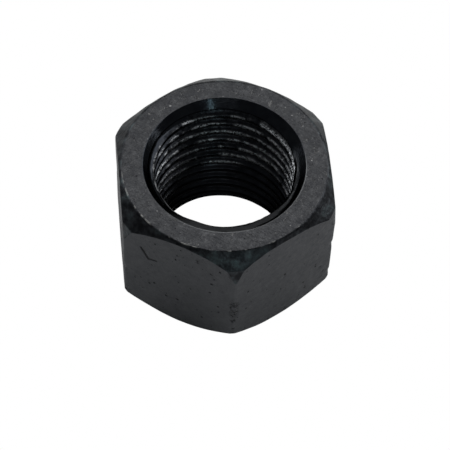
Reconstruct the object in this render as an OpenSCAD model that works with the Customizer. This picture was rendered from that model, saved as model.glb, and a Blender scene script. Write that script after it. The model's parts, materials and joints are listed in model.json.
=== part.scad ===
// High hexagon nut with a fine right-hand thread, forged and machined from one piece of steel.
// The frame's origin is the centre of the bottom face. +Z runs up the bore and +Y out of a flat.

/* [Hexagon] */
// Width across the flats
across_flats = 22; // [21.6:0.1:22.6]
// Height over both end faces
height = 17.2; // [16:0.1:19]

/* [Thread] */
// Major diameter, at the thread's roots
thread_d = 15.875; // [15.8:0.025:16]
// Rise in one turn
pitch = 1.411; // [1.25:0.001:1.6]
// Diameter of the bore over the thread's crests
crest_d = 14.5; // [14.4:0.05:14.65]
// Straight segments in one turn of the thread's groove
turn_segments = 36; // [24:12:36]

/* [Top end] */
// Diameter of the countersink at the top face
top_mouth_d = 17; // [16.4:0.1:17.6]
// Outer diameter of the flat ring on the top face
top_ring_d = 21.4; // [20:0.1:21.6]
// Slope of the top chamfer below the horizontal, in degrees
top_chamfer = 43; // [30:1:50]
// Diameter where the top corners' steep cut begins
top_corner_d = 24.46; // [24:0.02:25]

/* [Bottom end] */
// Diameter of the countersink at the bottom face
bottom_mouth_d = 15.1; // [14.8:0.1:16]
// Outer diameter of the flat ring on the bottom face
bottom_ring_d = 18.2; // [17.6:0.1:20]
// Slope of the bottom chamfer above the horizontal, in degrees
bottom_chamfer = 46; // [30:1:50]
// Diameter where the bottom corners' steep cut begins
bottom_corner_d = 25.1; // [24.6:0.02:25.2]

/* [Corners] */
// Slope of the steep cuts at the six corners, in degrees
corner_slope = 77.6; // [70:0.2:80]

/* [Hidden] */
$fn = 96;

// how far cutting tools run past the faces they cut
past = 1;
across_corners = across_flats / cos(30);
// radius of the outside profile beyond every corner
clear_r = across_corners / 2 + past;

// A thread's flanks stand 30 degrees from square to its axis
flank = tan(30);
// Full width of the groove at its root, an eighth of the pitch
root_w = pitch / 8;
// The groove's tool reaches inside the crests, but less than where its turns would meet
tool_in_r = crest_d / 2 - 0.2;
tool_in_w = root_w + 2 * flank * (thread_d / 2 - tool_in_r);

// Height of a profile point on the chamfers, measured in from its own end face
function chamfer_drop(r, ring_d, slope, corner_d) =
    (min(r, corner_d / 2) - ring_d / 2) * tan(slope)
    + max(0, r - corner_d / 2) * tan(corner_slope);

// Half section of the turned outside: two chamfer cones and two steep corner cones
module turned_outside() {
    top_drop = function(r) chamfer_drop(r, top_ring_d, top_chamfer, top_corner_d);
    bottom_rise = function(r) chamfer_drop(r, bottom_ring_d, bottom_chamfer, bottom_corner_d);
    rotate_extrude()
        polygon([
            [0, 0],
            [bottom_ring_d / 2, 0],
            [bottom_corner_d / 2, bottom_rise(bottom_corner_d / 2)],
            [clear_r, bottom_rise(clear_r)],
            [clear_r, height - top_drop(clear_r)],
            [top_corner_d / 2, height - top_drop(top_corner_d / 2)],
            [top_ring_d / 2, height],
            [0, height]
        ]);
}

// Half section of the bore: crest diameter with a 45 degree countersink at each end
module bored_inside() {
    top_depth = (top_mouth_d - crest_d) / 2;
    bottom_depth = (bottom_mouth_d - crest_d) / 2;
    rotate_extrude()
        polygon([
            [0, -past],
            [bottom_mouth_d / 2 + past, -past],
            [crest_d / 2, bottom_depth],
            [crest_d / 2, height - top_depth],
            [top_mouth_d / 2 + past, height + past],
            [0, height + past]
        ]);
}

// Cutting tool of the thread: one groove section carried up a right-hand helix
module thread_groove() {
    turns = ceil(height / pitch) + 2;
    rings = turns * turn_segments;
    section = [
        [tool_in_r, -tool_in_w / 2],
        [thread_d / 2, -root_w / 2],
        [thread_d / 2, root_w / 2],
        [tool_in_r, tool_in_w / 2]
    ];
    function at(ring, corner) =
        let (turn = ring * 360 / turn_segments)
        [corner[0] * cos(turn), corner[0] * sin(turn), corner[1] + pitch * (ring / turn_segments - 1)];
    points = [for (ring = [0:rings], corner = section) at(ring, corner)];
    sides = [
        for (ring = [0:rings - 1], i = [0:3])
            let (low = 4 * ring + i, next = 4 * ring + (i + 1) % 4)
            each [[low, next + 4, low + 4], [low, next, next + 4]]
    ];
    last = 4 * rings;
    ends = [[3, 2, 1, 0], [last, last + 1, last + 2, last + 3]];
    polyhedron(points, concat(sides, ends), convexity = 10);
}

// The whole nut is one solid: a hexagon bar, turned at both ends, bored and threaded
module nut_body() {
    color([0.36, 0.37, 0.38])
    difference() {
        intersection() {
            cylinder(d = across_corners, h = height, $fn = 6);
            turned_outside();
        }
        bored_inside();
        thread_groove();
    }
}

nut_body();
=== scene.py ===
import json
import math

import bpy
import numpy as np
from mathutils import Matrix, Vector


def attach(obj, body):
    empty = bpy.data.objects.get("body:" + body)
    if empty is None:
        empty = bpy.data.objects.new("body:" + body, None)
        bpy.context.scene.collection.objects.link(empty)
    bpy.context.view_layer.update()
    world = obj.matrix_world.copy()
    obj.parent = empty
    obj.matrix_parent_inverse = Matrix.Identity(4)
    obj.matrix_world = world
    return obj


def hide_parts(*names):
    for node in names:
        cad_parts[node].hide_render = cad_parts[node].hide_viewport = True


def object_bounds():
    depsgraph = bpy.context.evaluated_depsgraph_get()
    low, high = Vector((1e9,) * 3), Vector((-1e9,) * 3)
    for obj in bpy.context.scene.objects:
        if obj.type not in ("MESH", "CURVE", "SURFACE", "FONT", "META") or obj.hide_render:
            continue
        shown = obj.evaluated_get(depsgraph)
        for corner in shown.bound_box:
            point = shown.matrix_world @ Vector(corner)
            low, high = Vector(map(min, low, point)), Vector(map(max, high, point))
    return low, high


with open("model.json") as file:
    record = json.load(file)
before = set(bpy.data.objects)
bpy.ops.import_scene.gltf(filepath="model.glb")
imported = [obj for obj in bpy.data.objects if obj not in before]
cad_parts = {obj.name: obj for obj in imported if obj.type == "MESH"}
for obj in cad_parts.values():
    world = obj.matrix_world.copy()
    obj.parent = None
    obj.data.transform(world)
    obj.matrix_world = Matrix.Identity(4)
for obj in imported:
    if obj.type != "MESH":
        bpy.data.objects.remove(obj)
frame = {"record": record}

# The frame, in metres. The nut's own shape is worked out below in millimetres.
CAD_LOW, CAD_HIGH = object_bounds()
MM = 0.001
HEIGHT = (CAD_HIGH[2] - CAD_LOW[2]) / MM
ACROSS_FLATS = (CAD_HIGH[1] - CAD_LOW[1]) / MM
MOUNTS = {mount["name"]: mount for mount in frame["record"]["mounts"]}
CREST_R = MOUNTS["thread"]["dims"]["r_mm"]

# The thread: its rise in a turn, the radius at its roots, the flat at each root, how far a flank
# runs along the axis for each millimetre of its depth, and the whole depth
PITCH = 1.411
ROOT_R = 15.875 / 2
ROOT_FLAT = PITCH / 8
FLANK = math.tan(math.radians(30))
DEPTH = ROOT_R - CREST_R
# The tap tore the crests above this height, on average. The tearing reaches lowest at one angle,
# and its height swings by this much either way.
TORN_FROM = 7.2
TORN_LOWEST = math.radians(195)
TORN_SWING = 1.8
# Share of the pitch at a crest's upper edge, where the torn steel is bare and painted bright as a
# highlight
UPPER_EDGE = 0.66

# The two ends: countersink mouth, flat ring, chamfer slope and the corners' steep cut
TOP = {"mouth": 8.5, "ring": 10.7, "slope": 43.0, "corner": 12.23}
BOTTOM = {"mouth": 7.55, "ring": 9.1, "slope": 46.0, "corner": 12.55}
CORNER_SLOPE = 77.6
CORNER_ROUND = 0.4
# Depth at which the mesh of the outside meets the mesh of the bore
LIP = 0.08
# Points of the mesh closer than this are joined
WELD = 1e-5

# The mesh: columns in one of the hexagon's six sectors, and how closely they crowd its corners
SECTOR_COLUMNS = 64
CROWDING = 1.3

# The front corner of the hexagon
FRONT = math.radians(-60)
# The countersink's worn side: its middle, its half width, and how far it runs in towards the axis
# for each millimetre of its depth
LEAD_MIDDLE = math.radians(-41)
LEAD_SPREAD = math.radians(72)
LEAD_RUN = 1.75
# The angle about which the thread's first crest is bare, and painted bright, right across
BROAD_CREST = math.radians(50)


# ---------------------------------------------------------------- noise

def hashed(ix, iy, iz, seed):
    """A repeatable value from -1 to 1 at each point of a whole-number lattice."""
    n = (ix * 73856093) ^ (iy * 19349663) ^ (iz * 83492791) ^ (seed * 2654435761)
    n = (n ^ (n >> 13)) * 1274126177 & 0xFFFFFFFF
    n = (n ^ (n >> 16)) & 0xFFFFFFFF
    return n / 0x7FFFFFFF - 1.0


def noise(points, period, seed):
    """Smooth noise from -1 to 1 at points (n, 3), with features about one period across.

    Each seed gives a pattern of its own.
    """
    scaled = np.asarray(points, float) / period
    cell = np.floor(scaled).astype(np.int64)
    f = scaled - cell
    f = f * f * f * (f * (f * 6 - 15) + 10)
    total = np.zeros(len(scaled))
    for dx in (0, 1):
        for dy in (0, 1):
            for dz in (0, 1):
                weight = (
                    (f[:, 0] if dx else 1 - f[:, 0])
                    * (f[:, 1] if dy else 1 - f[:, 1])
                    * (f[:, 2] if dz else 1 - f[:, 2])
                )
                total += weight * hashed(cell[:, 0] + dx, cell[:, 1] + dy, cell[:, 2] + dz, seed)
    return total


def ring_noise(angles, period, seed):
    """Noise along the rim of the nut, which closes on itself. The period is in millimetres."""
    rim = np.stack([11 * np.cos(angles), 11 * np.sin(angles), np.zeros_like(angles)], 1)
    return noise(rim, period, seed)


# ---------------------------------------------------------------- shape

def column_angles():
    """Angles of the mesh's columns, with a corner of the hexagon at 0 and every 60 degrees."""
    half = SECTOR_COLUMNS // 2
    step = np.arange(half) / half
    away = 30 * step**CROWDING
    sector = np.concatenate([away, 60 - 30 * (1 - step) ** CROWDING])
    return np.radians(np.concatenate([60 * k + sector for k in range(6)]))


def hexagon_radius(angles):
    """Distance from the axis to the hexagon's sides, with its six long edges rounded."""
    from_corner = (angles + math.pi / 6) % (math.pi / 3) - math.pi / 6
    flat = ACROSS_FLATS / 2 / np.cos(math.pi / 6 - np.abs(from_corner))
    centre = (ACROSS_FLATS / 2 - CORNER_ROUND) / math.cos(math.pi / 6)
    rounded = centre * np.cos(from_corner) + np.sqrt(
        np.maximum(CORNER_ROUND**2 - (centre * np.sin(from_corner)) ** 2, 0)
    )
    tangent = math.atan(CORNER_ROUND * 0.5 / (centre + CORNER_ROUND * math.cos(math.pi / 6)))
    return np.where(np.abs(from_corner) < tangent, rounded, flat)


def end_drop(radius, end, ring):
    """How far the chamfer and the steep cut lie in from an end face, at a radius."""
    cut = end["corner"]
    chamfer = (np.minimum(radius, cut) - ring) * math.tan(math.radians(end["slope"]))
    return chamfer + np.maximum(radius - cut, 0) * math.tan(math.radians(CORNER_SLOPE))


def from_front(angles):
    """Angle round from the front corner, from -pi to pi."""
    return (angles - FRONT + math.pi) % (2 * math.pi) - math.pi


def outside_profile(angles):
    """The outside's half section as rows of (radius, height), one column for each angle.

    It runs from just inside the top countersink over the outside to just inside the bottom one.
    """
    side = hexagon_radius(angles)
    top_ring = TOP["ring"] + 0.05 * ring_noise(angles, 4, 11) + 0.03 * ring_noise(angles, 1.1, 12)
    bottom_ring = BOTTOM["ring"] + 0.05 * ring_noise(angles, 5, 13)
    # the forging left the right front flat's chamfer lower
    dip = 0.3 * np.exp(-(((from_front(angles) - math.radians(33)) / math.radians(13)) ** 2))
    dip = dip + 0.06 * ring_noise(angles, 2.5, 14) + 0.03 * ring_noise(angles, 0.8, 15)
    least_cut = 0.06
    one = np.ones_like(angles)
    top_lip = bore_points(angles, (HEIGHT - LIP) * one)[0]
    bottom_lip = bore_points(angles, LIP * one)[0]
    bottom_mouth = np.maximum(BOTTOM["mouth"], bore_points(angles, 0 * one)[0])
    top_in = np.minimum(side - 0.02, TOP["corner"])
    top_cut = HEIGHT - end_drop(top_in, TOP, top_ring) - np.maximum(dip, -0.05)
    top_low = np.minimum(HEIGHT - end_drop(side, TOP, top_ring) - dip, top_cut - least_cut)
    bottom_in = np.minimum(side - 0.02, BOTTOM["corner"])
    bottom_cut = end_drop(bottom_in, BOTTOM, bottom_ring) + np.abs(0.06 * ring_noise(angles, 3, 16))
    bottom_high = np.maximum(end_drop(side, BOTTOM, bottom_ring), bottom_cut + least_cut)
    corners = [
        (top_lip, (HEIGHT - LIP) * one),
        (TOP["mouth"] * one, HEIGHT * one),
        (top_ring, HEIGHT * one),
        (top_in, top_cut),
        (side, top_low),
        (side, bottom_high),
        (bottom_in, bottom_cut),
        (bottom_ring, 0 * one),
        (bottom_mouth, 0 * one),
        (bottom_lip, LIP * one),
    ]
    corners = [np.stack(c, 1) for c in corners]
    # the ring's edge is crisp towards the front and rolled over elsewhere
    crisp = 0.5 + 0.5 * np.cos(from_front(angles))
    ring_round = (0.45 - 0.3 * crisp**0.7)[:, None]
    # the size of the round at each corner, and for each stretch its rows of faces and its zone
    rounds = [0, 0.05, ring_round, 0.12, 0.12, 0.15, 0.12, 0.2, 0.05, 0]
    spans = [1, 9, 6, 3, 44, 2, 8, 5, 1]
    zones = ["sink", "ring", "chamfer", "chamfer", "side", "chamfer", "chamfer", "ring", "sink"]
    return filleted(corners, rounds, spans, zones)


def filleted(corners, rounds, spans, zones, arc=3):
    """Rows of points along a polyline whose corners are rounded, and the zone of each strip."""
    count = len(corners)
    start, end = [None] * count, [None] * count
    for k in range(count):
        start[k] = end[k] = corners[k]
        if not 0 < k < count - 1:
            continue
        back, ahead = corners[k - 1] - corners[k], corners[k + 1] - corners[k]
        back_len = np.linalg.norm(back, axis=1, keepdims=True)
        ahead_len = np.linalg.norm(ahead, axis=1, keepdims=True)
        back, ahead = back / back_len, ahead / ahead_len
        cosine = np.clip((back * ahead).sum(1, keepdims=True), -0.999999, 0.999999)
        reach = rounds[k] * np.sqrt((1 + cosine) / (1 - cosine)) * 2
        reach = np.minimum(reach, 0.45 * np.minimum(back_len, ahead_len))
        start[k], end[k] = corners[k] + back * reach, corners[k] + ahead * reach
    rows, strips = [start[0]], []
    for k in range(count - 1):
        for i in range(1, spans[k] + 1):
            rows.append(end[k] + (start[k + 1] - end[k]) * i / spans[k])
            strips.append(zones[k])
        if k + 1 < count - 1:
            for i in range(1, arc + 1):
                u = i / arc
                curve = (1 - u) ** 2 * start[k + 1] + 2 * u * (1 - u) * corners[k + 1]
                rows.append(curve + u**2 * end[k + 1])
                strips.append(zones[k] if i <= arc // 2 else zones[k + 1])
    return rows, strips


def thread_tooth():
    """One pitch of the thread as (share of the pitch, share of the depth), from root to root."""
    root = ROOT_FLAT / 2 / PITCH
    crest = root + DEPTH * FLANK / PITCH
    half = [(0.0, -0.01), (root, 0.03), ((root + crest) / 2, 0.5)]
    half += [(crest - 0.09, 0.68), (crest - 0.035, 0.87), (crest + 0.02, 0.98)]
    return half + [(0.5, 1.0)] + [(1 - share, depth) for share, depth in half[:0:-1]]


TOOTH = thread_tooth()


def pitch_share(height, angles):
    """How far a height on the bore is through its pitch, from 0 at one root to 1 at the next."""
    return (height / PITCH - angles / (2 * math.pi)) % 1.0


def tooth_depth(share):
    """Share of the thread's depth at a share of the pitch, from 0 at the root to 1 at the crest."""
    at = [s for s, _ in TOOTH] + [1.0]
    depth = [d for _, d in TOOTH] + [TOOTH[0][1]]
    return np.interp(share, at, depth)


def smoothstep(low, high, value):
    """0 below low, 1 above high, and a smooth rise between them."""
    t = np.clip((value - low) / (high - low), 0, 1)
    return t * t * (3 - 2 * t)


def worn_lead(angles):
    """1 on the side of the countersink where the thread's lead-in is worn down, 0 on the other."""
    away = np.abs((angles - LEAD_MIDDLE + math.pi) % (2 * math.pi) - math.pi)
    return 1 - smoothstep(LEAD_SPREAD - 0.5, LEAD_SPREAD + 0.3, away)


def steep_rim(angles):
    """How deep the worn side is still a plain cone: hardly in front, deeper to the right."""
    return 0.02 + 0.70 * smoothstep(0.1, 1.2, from_front(angles))


def countersink_radius(angles, height):
    """The top countersink: a 45 degree cone, which turns shallow where it is worn."""
    drop = HEIGHT - height
    below = np.maximum(drop - steep_rim(angles), 0)
    worn = TOP["mouth"] - (drop - below) - LEAD_RUN * below
    lead = worn_lead(angles)
    return (1 - lead) * (TOP["mouth"] - drop) + lead * worn


def bore_points(angles, height):
    """Radius and height on the bore after it is torn and worn, how bare it is, painted bright as a
    highlight on the crests' upper edges and painted paler as light on the countersink's near side,
    and how torn it is.
    """
    drop = HEIGHT - height
    share = pitch_share(height, angles)
    # the worn lead-in has filled the thread's last turn
    filled = worn_lead(angles) * (1 - smoothstep(1.15, 1.5, drop))
    depth = np.maximum(tooth_depth(share), filled)
    radius = ROOT_R - DEPTH * depth
    cone = countersink_radius(angles, height)
    on_cone = smoothstep(-0.03, 0.03, cone - radius)
    radius = np.maximum(radius, np.maximum(cone, BOTTOM["mouth"] - height))
    inner = np.column_stack([radius * np.cos(angles), radius * np.sin(angles), height])

    # tearing: chips off the crests, scars between them, and crests pushed up or down
    ends = smoothstep(0.25, 0.9, height) * smoothstep(0.5, 1.0, drop)
    torn_from = TORN_FROM - TORN_SWING * np.cos(angles - TORN_LOWEST)
    ragged = height + 1.2 * noise(inner, 2.5, 21)
    torn = smoothstep(torn_from - 1.5, torn_from + 1.0, ragged) * ends
    crest = smoothstep(0.75, 0.98, depth) * (1 - on_cone)
    long_tear = noise(inner * [1, 1, 1.5], 2.2, 22)
    chips = noise(inner * [1, 1, 1.5], 0.55, 23)
    tear = torn * crest * np.maximum(0.07 * long_tear + 0.09 * chips, 0)
    scar = torn * (1 - crest) * (1 - on_cone) * 0.04 * np.maximum(noise(inner, 0.6, 24) - 0.1, 0)
    shift = torn * crest * (0.03 * noise(inner, 0.6, 25) + 0.05 * noise(inner, 2.0, 26))

    # bare steel along the crests' upper edges, painted bright there as a highlight; the first crest
    # at the back right is widest
    first = smoothstep(1.2, 1.5, drop) * (1 - smoothstep(2.2, 2.6, drop))
    right = smoothstep(0.3, 0.8, np.cos(angles - BROAD_CREST))
    wide = 0.026 + 0.030 * smoothstep(-0.1, 0.8, noise(inner * [1, 1, 2], 1.3, 27))
    wide = wide + (0.015 + 0.035 * first) * right
    upper_edge = np.exp(-(((share - UPPER_EDGE) / wide) ** 2))
    unbroken = smoothstep(-0.55, 0.1, long_tear + 0.5 * chips)
    bare_and_glint = torn * upper_edge * (1 - on_cone) * unbroken

    # the worn lead-in is dull, and painted paler, more so in front than to the right: partly wear,
    # partly painted light where its near side catches the light
    lead = worn_lead(angles) * on_cone
    lead = lead * smoothstep(-0.05, 0.10, drop - steep_rim(angles))
    lead = lead * (1 - smoothstep(1.6, 2.0, drop))
    lead_wear_and_light = 0.24 - 0.05 * smoothstep(0.1, 1.0, from_front(angles))
    return radius + (tear + scar), height + shift, np.maximum(bare_and_glint, lead_wear_and_light * lead), torn


def inside_rows(angles, low, high):
    """The bore as helical rows. Each row climbs a pitch in a turn, held between two heights."""
    turns = math.ceil(HEIGHT / PITCH) + 3
    rows = []
    for turn in range(turns + 1):
        for share, _ in TOOTH:
            height = PITCH * (turn - 2 + share + angles / (2 * math.pi))
            rows.append(bore_points(angles, np.clip(height, low, high)))
    return rows


def scatter_pits(count, seed):
    """Pits over the six sides as rows of (x, y, z, radius, depth)."""
    rng = np.random.default_rng(seed)
    flat = rng.integers(0, 6, count)
    along = rng.uniform(-5.8, 5.8, count)
    height = rng.uniform(1.5, 15.5, count)
    facing = np.radians(30 + 60 * flat)
    x = np.cos(facing) * ACROSS_FLATS / 2 - np.sin(facing) * along
    y = np.sin(facing) * ACROSS_FLATS / 2 + np.cos(facing) * along
    radius = rng.uniform(0.13, 0.27, count)
    return np.stack([x, y, height, radius, rng.uniform(0.3, 0.6, count) * radius], 1)


PITS = scatter_pits(150, 5)

# Dents along the vertical corners, as (corner's angle in degrees, height, radius, depth)
DINGS = [
    (-60, 9.3, 0.80, 0.12), (-60, 7.9, 0.75, 0.12), (-60, 6.4, 0.50, 0.10), (-60, 4.6, 0.35, 0.09),
    (-120, 8.4, 0.45, 0.14), (-120, 4.2, 0.30, 0.10), (0, 10.2, 0.40, 0.14), (0, 4.8, 0.35, 0.10),
    (60, 7.5, 0.45, 0.14), (60, 12.3, 0.30, 0.10), (120, 5.5, 0.40, 0.12), (180, 9.1, 0.45, 0.14),
]

# A scratch on the flat that faces -Y, as points of (x, z)
SCRATCH = [(-4.3, 13.7), (-3.5, 12.0), (-2.6, 12.2)]
SCRATCH_DEPTH = 0.06
SCRATCH_REACH = 0.12

# A dent this deep gets the full mark; the sides paint the deeper ones dark as shade
SHADED_DENT = 0.12

# Depths of the forging waves and of the grain in each zone
RELIEF = {"side": (0.045, 0.008), "ring": (0.030, 0.022), "chamfer": (0.030, 0.014), "sink": (0, 0)}


def hollows(points):
    """Depth of the pits, dings and scratch at points on the outside."""
    depth = np.zeros(len(points))
    for x, y, z, radius, deep in PITS:
        gap = ((points - [x, y, z]) ** 2).sum(1)
        depth = np.maximum(depth, deep * np.exp(-gap / radius**2))
    corner = ACROSS_FLATS / 2 / math.cos(math.pi / 6)
    for degrees, z, radius, deep in DINGS:
        turn = math.radians(degrees)
        middle = [corner * math.cos(turn), corner * math.sin(turn), z]
        gap = ((points - middle) ** 2 * [1, 1, 0.5]).sum(1)
        depth = np.maximum(depth, deep * np.exp(-gap / radius**2))
    for (x1, z1), (x2, z2) in zip(SCRATCH, SCRATCH[1:]):
        run = np.array([x2 - x1, 0, z2 - z1])
        start = np.array([x1, -ACROSS_FLATS / 2, z1])
        share = np.clip(((points - start) @ run) / (run @ run), 0, 1)
        gap = ((points - start - share[:, None] * run) ** 2).sum(1)
        depth = np.maximum(depth, SCRATCH_DEPTH * np.exp(-gap / SCRATCH_REACH**2))
    return depth


def surface_relief(points, zone):
    """How far the forging waves and the grain lie in from the true shape."""
    waves = 0.5 + 0.5 * noise(points, 3.2, 31)
    grain = 0.5 + 0.5 * noise(points, 0.7, 32)
    wave_depth, grain_depth = RELIEF[zone]
    return wave_depth * waves + grain_depth * grain


def rim_wear_and_highlight(angles, row):
    """How bare the steel is along the rim of the top ring, with a painted highlight along it most of
    all in front, and how pale its lip is where the lead-in is worn, partly wear and partly painted
    light.
    """
    rim = np.hypot(row[:, 0] - TOP["ring"], row[:, 1] - HEIGHT)
    place = np.column_stack([row[:, 0] * np.cos(angles), row[:, 0] * np.sin(angles), row[:, 1]])
    front = smoothstep(-0.2, 0.8, np.cos(from_front(angles) + 0.35))
    patchy = smoothstep(-0.3, 0.6, noise(place, 1.1, 41) + 0.7 * noise(place, 0.35, 42))
    lip = (row[:, 1] > HEIGHT / 2) * (row[:, 0] < TOP["mouth"] + 0.01) * worn_lead(angles)
    # painted highlight: a paler band along the rim, strongest in front
    edge = np.exp(-((rim / 0.12) ** 2)) * (0.1 + 0.7 * front * patchy)
    return np.maximum(edge, 0.35 * lip)


def build_nut():
    """The whole nut as one closed mesh: straight columns outside and helical rows in the bore.

    Gives its points, faces, the faces' zones, and at each point how bare the steel is, with painted
    highlight and painted light in it, and how torn or dented it is, the dents being painted dark as
    shade on the sides.
    """
    angles = column_angles()
    n = len(angles)
    rows, strips = outside_profile(angles)
    high, low = rows[0][0, 1], rows[-1][0, 1]
    across = np.stack([np.cos(angles), np.sin(angles)], 1)
    points, faces, zones, wear_and_highlight, rough = [], [], [], [], []
    for r, row in enumerate(rows):
        ahead, behind = rows[min(r + 1, len(rows) - 1)], rows[max(r - 1, 0)]
        along = (ahead - behind) / np.linalg.norm(ahead - behind, axis=1, keepdims=True)
        inward = np.stack([along[:, 1], -along[:, 0]], 1)
        place = np.column_stack([across * row[:, :1], row[:, 1]])
        beside = [strips[max(r - 1, 0)], strips[min(r, len(strips) - 1)]]
        relief = (surface_relief(place, beside[0]) + surface_relief(place, beside[1])) / 2
        dents = hollows(place) if "side" in beside else np.zeros(n)
        moved = row + inward * (relief + dents)[:, None]
        moved[:, 1] = np.clip(moved[:, 1], 0, HEIGHT)
        points.append(np.column_stack([across * moved[:, :1], moved[:, 1]]))
        wear_and_highlight.append(rim_wear_and_highlight(angles, row))
        # on the sides this marks the dents, which their steel paints dark as shade
        rough.append(np.clip(dents / SHADED_DENT, 0, 1))
    nxt = (np.arange(n) + 1) % n
    for r, zone in enumerate(strips):
        a, b = r * n, (r + 1) * n
        faces.append(np.stack([a + np.arange(n), b + np.arange(n), b + nxt, a + nxt], 1))
        zones += [zone] * n

    bore = inside_rows(angles, low, high)
    first = len(points) * n
    for radius, height, bare_and_glint, torn in bore:
        points.append(np.column_stack([across * radius[:, None], height]))
        wear_and_highlight.append(bare_and_glint)
        rough.append(torn)
    climb = len(TOOTH) * n
    # just below where the plain 45 degree cone would reach the crests
    cone_low = HEIGHT - (TOP["mouth"] - CREST_R) - 0.05
    for r in range(len(bore) - 1):
        a = first + r * n + np.arange(n)
        b = a + n
        # past the last column the helix comes back to the first one a pitch higher up
        a_next = np.where(nxt > 0, a + 1, a + 1 - n + climb)
        b_next = np.where(nxt > 0, b + 1, b + 1 - n + climb)
        quads = np.stack([a, b, b_next, a_next], 1)
        keep = (quads < first + len(bore) * n).all(1)
        faces.append(quads[keep])
        mean = (bore[r][1] + bore[r + 1][1]) / 2
        cone = mean > cone_low
        zones += ["sink" if c else "thread" for c in cone[keep]]
    states = np.stack([np.concatenate(wear_and_highlight), np.concatenate(rough)], 1)
    return welded(np.concatenate(points), np.concatenate(faces), zones, states)


def welded(points, faces, zones, states):
    """Joins points that share a place, and drops the faces that this leaves with no area."""
    key = np.round(points / WELD).astype(np.int64)
    _, first, back = np.unique(key, axis=0, return_index=True, return_inverse=True)
    points, states = points[first], states[first]
    faces = back.reshape(-1)[faces]
    kept, kept_zones = [], []
    for face, zone in zip(faces.tolist(), zones):
        ring = [v for i, v in enumerate(face) if v != face[i - 1]]
        if len(set(ring)) == len(ring) and len(ring) > 2:
            kept.append(ring)
            kept_zones.append(zone)
    used = np.zeros(len(points), bool)
    used[[v for face in kept for v in face]] = True
    number = np.cumsum(used) - 1
    kept = [[int(number[v]) for v in face] for face in kept]
    return points[used], kept, kept_zones, states[used]


# ---------------------------------------------------------------- materials

# Period of the raggedness of specks, and how far it moves their outlines, in mm
SPECK_RAGGED = 0.2
SPECK_SHIFT = 0.25


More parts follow.
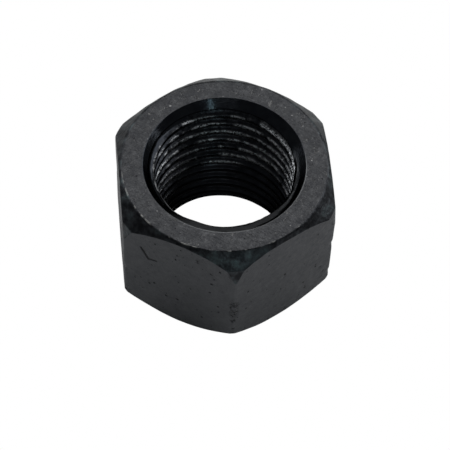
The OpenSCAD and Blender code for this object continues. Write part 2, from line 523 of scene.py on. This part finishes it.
class Shading:
    """A material's node tree, with short ways to add the nodes that every steel here uses."""

    def __init__(self, name):
        self.material = bpy.data.materials.new(name)
        self.material.use_nodes = True
        self.tree = self.material.node_tree
        self.tree.nodes.clear()
        self.place = self.tree.nodes.new("ShaderNodeTexCoord").outputs["Object"]

    def link(self, source, node, socket):
        self.tree.links.new(source, node.inputs[socket])

    def noise(self, period_mm, detail=3.0, rough=0.6, stretch=(1, 1, 1)):
        """Noise from 0 to 1 in the nut's own space, with features about period_mm across."""
        place = self.place
        if stretch != (1, 1, 1):
            mapping = self.tree.nodes.new("ShaderNodeMapping")
            mapping.inputs["Scale"].default_value = stretch
            self.link(place, mapping, "Vector")
            place = mapping.outputs[0]
        node = self.tree.nodes.new("ShaderNodeTexNoise")
        node.inputs["Scale"].default_value = 1 / (period_mm * MM)
        node.inputs["Detail"].default_value = detail
        node.inputs["Roughness"].default_value = rough
        self.link(place, node, "Vector")
        return node.outputs[0]

    def specks(self, spacing_mm, size):
        """Scattered ragged specks of many sizes: 1 in their middles and 0 between them."""
        ragged = self.tree.nodes.new("ShaderNodeTexNoise")
        ragged.inputs["Scale"].default_value = 1 / (SPECK_RAGGED * MM)
        self.link(self.place, ragged, "Vector")
        shift = self.tree.nodes.new("ShaderNodeVectorMath")
        shift.operation = "MULTIPLY_ADD"
        shift.inputs[1].default_value = (SPECK_SHIFT * MM, SPECK_SHIFT * MM, SPECK_SHIFT * MM)
        self.link(ragged.outputs["Color"], shift, 0)
        self.link(self.place, shift, 2)
        node = self.tree.nodes.new("ShaderNodeTexVoronoi")
        node.inputs["Scale"].default_value = 1 / (spacing_mm * MM)
        self.link(shift.outputs[0], node, "Vector")
        # each cell's own random brightness sets how large its speck is
        scaled = self.math("DIVIDE", node.outputs["Distance"], node.outputs["Color"])
        return self.ramp(scaled, [(size * 1.1, 1.0), (size * 1.5, 0.0)])

    def stroke(self, start, end, width):
        """A scratch along a line, in mm: 1 on the line and 0 beyond its width."""
        start = Vector(start) * MM
        run = Vector(end) * MM - start
        offset = self.vector("SUBTRACT", self.place, start)
        along = self.vector("DOT_PRODUCT", offset, run / run.length_squared)
        reach = self.tree.nodes.new("ShaderNodeVectorMath")
        reach.operation = "SCALE"
        reach.inputs[0].default_value = run
        # adding nothing holds the value from 0 to 1, between the line's ends
        self.link(self.math("ADD", along, 0.0), reach, "Scale")
        gap = self.vector("LENGTH", self.vector("SUBTRACT", offset, reach.outputs[0]))
        scaled = self.math("MULTIPLY", gap, 1 / (width * MM))
        return self.ramp(scaled, [(0.3, 1.0), (0.9, 0.0)])

    def vector(self, operation, first, second=None):
        """A vector operation on sockets or fixed vectors."""
        node = self.tree.nodes.new("ShaderNodeVectorMath")
        node.operation = operation
        for socket, value in enumerate((first, second)):
            if isinstance(value, Vector):
                node.inputs[socket].default_value = value
            elif value is not None:
                self.link(value, node, socket)
        return node.outputs["Value" if operation in ("DOT_PRODUCT", "LENGTH") else "Vector"]

    def ramp(self, source, stops):
        """Maps a value through grey levels or colours at chosen positions."""
        node = self.tree.nodes.new("ShaderNodeValToRGB")
        elements = node.color_ramp.elements
        while len(elements) < len(stops):
            elements.new(0.5)
        for element, (at, value) in zip(elements, stops):
            element.position = at
            grey = isinstance(value, (int, float))
            element.color = (value, value, value, 1) if grey else (*value, 1)
        self.link(source, node, "Fac")
        return node.outputs["Color"]

    def math(self, operation, first, second):
        """An operation on two sockets or numbers. What it gives is held from 0 to 1."""
        node = self.tree.nodes.new("ShaderNodeMath")
        node.operation = operation
        node.use_clamp = True
        for socket, value in enumerate((first, second)):
            if isinstance(value, (int, float)):
                node.inputs[socket].default_value = value
            else:
                self.link(value, node, socket)
        return node.outputs[0]

    def mix(self, factor, first, second):
        """Blends two colours, each a socket or a triple, by a factor socket."""
        node = self.tree.nodes.new("ShaderNodeMix")
        node.data_type = "RGBA"
        self.link(factor, node, 0)
        for socket, value in ((6, first), (7, second)):
            if isinstance(value, tuple):
                node.inputs[socket].default_value = (*value, 1)
            else:
                self.link(value, node, socket)
        return node.outputs[2]

    def attribute(self, name):
        """A value stored at the mesh's points: how bare the steel is, with painted highlight and
        painted light in it, or "rough" for torn or dented, whose dents the sides paint as shade.
        """
        node = self.tree.nodes.new("ShaderNodeAttribute")
        node.attribute_name = name
        return node.outputs["Fac"]

    def bump(self, heights):
        """Stacks bumps, each a (height socket, depth in mm), and gives the last normal."""
        normal = None
        for height, depth in heights:
            node = self.tree.nodes.new("ShaderNodeBump")
            node.inputs["Distance"].default_value = depth * MM
            self.link(height, node, "Height")
            if normal:
                self.link(normal, node, "Normal")
            normal = node.outputs[0]
        return normal

    def finish(self, colour, roughness, normal, edge=1.0):
        """Ends the tree in a metal. edge is its tint where it is seen at a glancing angle."""
        shader = self.tree.nodes.new("ShaderNodeBsdfPrincipled")
        shader.inputs["Metallic"].default_value = 1.0
        shader.inputs["Specular Tint"].default_value = (edge, edge, edge, 1)
        self.link(colour, shader, "Base Color")
        self.link(roughness, shader, "Roughness")
        self.link(normal, shader, "Normal")
        out = self.tree.nodes.new("ShaderNodeOutputMaterial")
        self.link(shader.outputs[0], out, "Surface")
        return self.material


# The colour of steel that wear has laid bare, and of the painted highlight along the top ring's rim
BARE_AND_HIGHLIGHT = (0.30, 0.30, 0.29)


def forged_flats():
    """The six sides: even satin oxide with fine grain and scattered pits; the pits, the deeper dents
    and the scratch are painted dark as shade.
    """
    m = Shading("steel_side")
    mottle = m.noise(1.6, 6, 0.75)
    colour = m.ramp(mottle, [(0.3, (0.075, 0.077, 0.083)), (0.7, (0.103, 0.105, 0.111))])
    # painted shade: the deeper dents are darkened in broken patches
    dent_shade = m.ramp(m.attribute("rough"), [(0.4, 0.0), (0.7, 1.0)])
    chips = m.ramp(m.noise(0.2, 3, 0.7), [(0.50, 0.0), (0.57, 1.0)])
    # painted shade: the pits are painted near-black where they sink in
    hollow_shade = m.math("MAXIMUM", m.specks(1.3, 0.13), m.specks(0.8, 0.13))
    hollow_shade = m.math("MAXIMUM", hollow_shade, m.math("MULTIPLY", dent_shade, chips))
    face = -ACROSS_FLATS / 2
    # painted shade: the scratch is painted dark along its groove
    for (x1, z1), (x2, z2) in zip(SCRATCH, SCRATCH[1:]):
        hollow_shade = m.math("MAXIMUM", hollow_shade, m.stroke((x1, face, z1), (x2, face, z2), 0.24))
    # the near-black colour of the painted shade in the hollows
    colour = m.mix(hollow_shade, colour, (0.010, 0.010, 0.011))
    roughness = m.ramp(m.noise(0.5, 3), [(0.3, 0.38), (0.7, 0.52)])
    normal = m.bump([(m.noise(0.24, 3), 0.025), (m.noise(1.1, 2), 0.030), (hollow_shade, -0.06)])
    return m.finish(colour, roughness, normal, edge=0.85)


def turned_ring():
    """The end faces: mottled, pitted and finely scratched, paler where they are worn, and with a
    painted highlight along the front of the top rim.
    """
    m = Shading("steel_ring")
    mottle = m.noise(0.8, 6, 0.8)
    colour = m.ramp(mottle, [
        (0.36, (0.036, 0.0375, 0.041)),
        (0.52, (0.053, 0.0545, 0.058)),
        (0.66, (0.078, 0.080, 0.084)),
    ])
    fine = m.noise(0.22, 4, 0.7)
    colour = m.mix(m.ramp(fine, [(0.60, 0.0), (0.72, 0.7)]), colour, (0.15, 0.15, 0.15))
    colour = m.mix(m.ramp(fine, [(0.34, 0.5), (0.42, 0.0)]), colour, (0.022, 0.023, 0.025))
    patches = m.ramp(m.noise(0.9, 3), [(0.50, 0.0), (0.58, 1.0)])
    lines = m.ramp(m.noise(1.5, 2, 0.6), [(0.482, 0.0), (0.50, 1.0), (0.518, 0.0)])
    hairlines = m.math("MULTIPLY", lines, patches)
    colour = m.mix(hairlines, colour, (0.15, 0.15, 0.15))
    colour = m.mix(m.specks(0.9, 0.10), colour, (0.21, 0.21, 0.21))
    colour = m.mix(m.specks(1.0, 0.10), colour, (0.012, 0.012, 0.013))
    # the rim is painted paler, partly bare wear and partly a painted highlight, most of all in front
    worn = m.ramp(m.attribute("wear_and_highlight"), [(0.25, 0.0), (0.7, 1.0)])
    colour = m.mix(worn, colour, BARE_AND_HIGHLIGHT)
    roughness = m.ramp(m.noise(0.45, 3), [(0.3, 0.34), (0.7, 0.52)])
    dents = m.specks(1.3, 0.09)
    streaks = m.noise(0.5, 3, 0.7, stretch=(0.35, 1.6, 1))
    grain = m.noise(0.22, 3)
    normal = m.bump([(grain, 0.06), (streaks, 0.07), (dents, -0.08), (hairlines, -0.04)])
    return m.finish(colour, roughness, normal)


def turned_chamfers():
    """The chamfers: darker and smoother, with a faint blue-green bloom."""
    m = Shading("steel_chamfer")
    bloom = m.noise(1.4, 4, 0.65)
    colour = m.ramp(bloom, [
        (0.40, (0.016, 0.017, 0.019)),
        (0.52, (0.036, 0.039, 0.043)),
        (0.66, (0.056, 0.070, 0.074)),
    ])
    # where the chamfer meets the ring's rim it is painted paler, partly wear and partly a painted
    # highlight
    worn = m.ramp(m.attribute("wear_and_highlight"), [(0.35, 0.0), (0.8, 1.0)])
    colour = m.mix(worn, colour, BARE_AND_HIGHLIGHT)
    roughness = m.ramp(m.noise(0.6, 3), [(0.3, 0.30), (0.7, 0.44)])
    normal = m.bump([(m.noise(0.35, 3), 0.04), (m.noise(1.0, 2), 0.04)])
    return m.finish(colour, roughness, normal)


def countersink():
    """The countersinks: near-black and glossy, with faint turning marks."""
    m = Shading("steel_sink")
    colour = m.ramp(m.noise(1.2, 3), [(0.4, (0.016, 0.018, 0.022)), (0.65, (0.024, 0.027, 0.031))])
    colour = m.mix(m.specks(1.1, 0.05), colour, (0.5, 0.45, 0.38))
    # the worn lead-in is painted paler: partly wear, partly painted light on its near side
    colour = m.mix(m.attribute("wear_and_highlight"), colour, (0.45, 0.46, 0.47))
    gloss = m.ramp(m.noise(0.8, 2), [(0.3, 0.11), (0.7, 0.17)])
    dull = m.ramp(m.attribute("wear_and_highlight"), [(0.1, 0.0), (0.4, 1.0)])
    roughness = m.mix(dull, gloss, (0.55, 0.55, 0.55))
    normal = m.bump([(m.noise(0.5, 2, stretch=(1, 1, 5)), 0.012)])
    return m.finish(colour, roughness, normal)


def tapped_thread():
    """The thread: dark and smooth low down, torn to brighter metal on the upper crests, painted
    brightest along their upper edges as a highlight.
    """
    m = Shading("steel_thread")
    whole = m.ramp(m.noise(0.9, 3), [(0.35, (0.010, 0.011, 0.013)), (0.65, (0.020, 0.022, 0.026))])
    ripped = m.ramp(m.noise(0.5, 4), [(0.35, (0.008, 0.009, 0.011)), (0.65, (0.024, 0.026, 0.030))])
    torn = m.attribute("rough")
    base = m.mix(torn, whole, ripped)
    broken = m.ramp(m.noise(0.22, 4, 0.7), [(0.42, 0.05), (0.52, 1.0)])
    # torn crests painted near-white along their upper edges: bare steel, with a painted highlight
    worn = m.math("MULTIPLY", m.attribute("wear_and_highlight"), broken)
    colour = m.mix(worn, base, (0.80, 0.83, 0.86))
    uneven = m.ramp(m.noise(0.4, 3), [(0.3, 0.16), (0.7, 0.34)])
    gloss = m.mix(torn, (0.16, 0.16, 0.16), uneven)
    dull = m.ramp(worn, [(0.1, 0.0), (0.5, 1.0)])
    roughness = m.mix(dull, gloss, (0.42, 0.42, 0.42))
    normal = m.bump([(m.noise(0.25, 3, 0.7), 0.02), (worn, 0.03)])
    return m.finish(colour, roughness, normal)


# ---------------------------------------------------------------- scene

# Half the floor's width, and how far the lights stand from the nut
FLOOR_HALF = 1.2
LIGHT_DISTANCE = 0.6


def make_floor():
    """A plain floor. The camera sees it plain white, and light bounces off it as pale and matt."""
    half = FLOOR_HALF
    corners = [(-half, -half, 0), (half, -half, 0), (half, half, 0), (-half, half, 0)]
    mesh = bpy.data.meshes.new("floor")
    mesh.from_pydata(corners, [], [(0, 1, 2, 3)])
    floor = bpy.data.objects.new("floor", mesh)
    bpy.context.collection.objects.link(floor)
    material = bpy.data.materials.new("pale_floor")
    material.use_nodes = True
    tree = material.node_tree
    tree.nodes.clear()
    matt = tree.nodes.new("ShaderNodeBsdfDiffuse")
    matt.inputs["Color"].default_value = (0.82, 0.82, 0.82, 1)
    glow = tree.nodes.new("ShaderNodeEmission")
    rays = tree.nodes.new("ShaderNodeLightPath")
    mix = tree.nodes.new("ShaderNodeMixShader")
    out = tree.nodes.new("ShaderNodeOutputMaterial")
    tree.links.new(rays.outputs["Is Camera Ray"], mix.inputs[0])
    tree.links.new(matt.outputs[0], mix.inputs[1])
    tree.links.new(glow.outputs[0], mix.inputs[2])
    tree.links.new(mix.outputs[0], out.inputs["Surface"])
    mesh.materials.append(material)


def direction(azimuth, elevation):
    """The unit vector that points from the nut to an azimuth and elevation, in radians."""
    level = math.cos(elevation)
    return Vector((level * math.cos(azimuth), level * math.sin(azimuth), math.sin(elevation)))


def make_camera():
    """The camera stands in front of a corner, at 57 degrees, with a long lens and a slight roll."""
    distance = 0.1919
    target = Vector((1.08, -1.72, 8.6)) * MM
    back = direction(math.radians(-68.0), math.radians(57.09))
    right = Vector((0, 0, 1)).cross(back).normalized()
    up = back.cross(right)
    roll = math.radians(2.95)
    right, up = (
        math.cos(roll) * right + math.sin(roll) * up,
        math.cos(roll) * up - math.sin(roll) * right,
    )
    data = bpy.data.cameras.new("camera")
    data.sensor_width = 36
    data.lens = 144
    data.clip_start = 0.01
    camera = bpy.data.objects.new("camera", data)
    bpy.context.collection.objects.link(camera)
    turn = Matrix((right, up, back)).transposed().to_4x4()
    camera.matrix_world = Matrix.Translation(target + back * distance) @ turn
    bpy.context.scene.camera = camera


def area_light(name, azimuth, elevation, size, radiance, colour=(1, 1, 1)):
    """A soft rectangular light that faces the nut. Angles are in degrees, the size in metres.

    Radiance is how bright its face looks.
    """
    data = bpy.data.lights.new(name, "AREA")
    data.shape = "RECTANGLE"
    data.size, data.size_y = size
    data.energy = radiance * math.pi * size[0] * size[1]
    data.color = colour
    light = bpy.data.objects.new(name, data)
    bpy.context.collection.objects.link(light)
    place = direction(math.radians(azimuth), math.radians(elevation)) * LIGHT_DISTANCE
    light.location = place
    light.rotation_euler = place.to_track_quat("Z", "Y").to_euler()
    light.visible_camera = False


def make_lights():
    """A dim even surround, three softboxes, a band for the front chamfer and a narrow strip."""
    world = bpy.data.worlds.new("studio")
    bpy.context.scene.world = world
    world.use_nodes = True
    shade = world.node_tree.nodes["Background"]
    shade.inputs["Color"].default_value = (0.95, 0.97, 1, 1)
    shade.inputs["Strength"].default_value = 0.15
    area_light("back_softbox", 112, 52, (1.0, 0.6), 1.25)
    area_light("left_softbox", 168, 32, (0.4, 0.35), 1.2)
    area_light("right_softbox", 50, 36, (0.5, 0.35), 2.4)
    area_light("front_band", -56, 46, (0.36, 0.07), 0.9)
    area_light("strip", -46, 34, (0.009, 0.26), 18.0, (0.75, 1.05, 1.05))


# ---------------------------------------------------------------- the nut

def make_nut():
    """The nut's one visible piece, with a steel for each zone of its surface."""
    points, faces, zones, states = build_nut()
    mesh = bpy.data.meshes.new("nut")
    mesh.from_pydata((points * MM).tolist(), [], faces)
    steels = {
        "side": forged_flats(),
        "ring": turned_ring(),
        "chamfer": turned_chamfers(),
        "sink": countersink(),
        "thread": tapped_thread(),
    }
    for steel in steels.values():
        mesh.materials.append(steel)
    order = list(steels)
    mesh.polygons.foreach_set("material_index", [order.index(zone) for zone in zones])
    mesh.polygons.foreach_set("use_smooth", [True] * len(faces))
    for name, values in zip(("wear_and_highlight", "rough"), states.T):
        mesh.attributes.new(name, "FLOAT", "POINT").data.foreach_set("value", values)
    mesh.update()
    nut = bpy.data.objects.new("nut", mesh)
    bpy.context.collection.objects.link(nut)
    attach(nut, "root")
    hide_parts("nut_body")


make_nut()
make_floor()
make_camera()
make_lights()
bpy.context.scene.view_settings.view_transform = "Standard"
